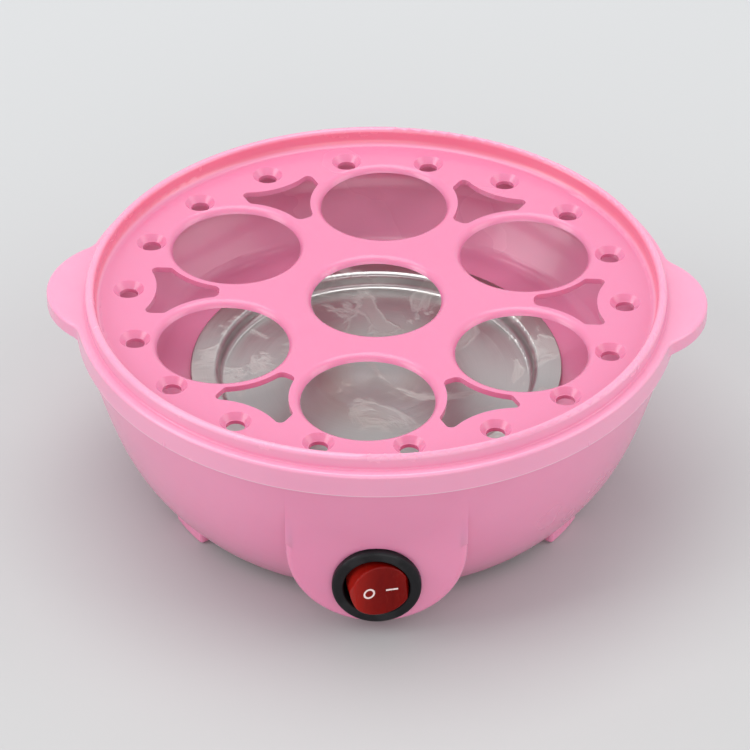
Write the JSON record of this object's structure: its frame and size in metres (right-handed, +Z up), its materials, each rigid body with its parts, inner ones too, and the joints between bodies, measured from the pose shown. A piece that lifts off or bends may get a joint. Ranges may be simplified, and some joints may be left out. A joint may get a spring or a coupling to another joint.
{
  "type": "egg cooker",
  "caption": "Electric egg steamer: round bowl base with a round rocker switch, steel heating plate, and a lift-off tray of egg wells with side ears.",
  "frame": {"origin": "on the surface that it stands on, below the middle of the bowl", "axes": "+Z up, -Y towards the switch, +X towards one of the tray's ears"},
  "size_m": [0.1754, 0.1596, 0.06],
  "materials": {
    "pink_plastic": "glossy pink polypropylene, slightly translucent",
    "steel_plate": "drawn stainless steel, satin",
    "silicone": "matt silicone rubber",
    "cast_aluminium": "as-cast aluminium",
    "element_sheath": "dark annealed steel sheath",
    "pin_steel": "plain steel",
    "ceramic": "unglazed ceramic",
    "zinc_steel": "zinc-plated steel",
    "phenolic": "black phenolic moulding",
    "brass": "plain brass",
    "black_rubber": "matt black rubber",
    "black_nylon": "satin black nylon",
    "white_nylon": "natural nylon",
    "red_lens": "clear red polycarbonate, polished",
    "white_mark": "white paint, satin",
    "lamp_glass": "clear glass",
    "lead_sleeve": "white fibreglass sleeve",
    "spring_steel": "spring wire"
  },
  "bodies": {
    "base": {"bowl_shell": "pink_plastic", "water_basin": "pink_plastic", "heating_plate": "steel_plate", "plate_gasket": "silicone", "heat_spreader": "cast_aluminium", "heating_element": "element_sheath", "element_pins": "pin_steel", "element_beads": "ceramic", "plate_clamp": "zinc_steel", "plate_studs": "zinc_steel", "stud_nuts": "zinc_steel", "thermostat": "phenolic", "thermostat_tabs": "brass", "thermostat_screws": "zinc_steel", "thermal_fuse": "ceramic", "fuse_clip": "zinc_steel", "shell_screws": "zinc_steel", "cord_gland": "black_rubber", "cord_clamp": "white_nylon", "cord_clamp_screws": "zinc_steel", "terminal_block": "white_nylon", "terminal_ways": "brass", "inner_leads": "lead_sleeve", "switch_body": "black_nylon", "switch_blades": "brass", "switch_lamp": "lamp_glass"},
    "tray": {"egg_tray": "pink_plastic"},
    "rocker": {"switch_rocker": "red_lens", "rocker_mark_off": "white_mark", "rocker_mark_on": "white_mark", "switch_plunger": "white_nylon", "plunger_spring": "spring_steel"},
    "contact_arm": {"switch_arm": "brass"}
  },
  "joints": [
    {"name": "tray_lift", "type": "slide", "parent": "base", "child": "tray", "axis": [0, 0, 1], "range_m": [0, 0.09]},
    {"name": "rocker_tilt", "type": "hinge", "parent": "base", "child": "rocker", "pos_m": [0, -0.0711, 0.0157], "axis": [0.0698, 0, -0.9976], "range_deg": [0, 26]},
    {"name": "arm_tilt", "type": "hinge", "parent": "base", "child": "contact_arm", "pos_m": [0, -0.05915, 0.0157], "axis": [0.0698, 0, -0.9976], "range_deg": [-14, 0]}
  ],
  "couplings": [
    {"joint": "arm_tilt", "follows": "rocker_tilt", "ratio": -0.538}
  ]
}
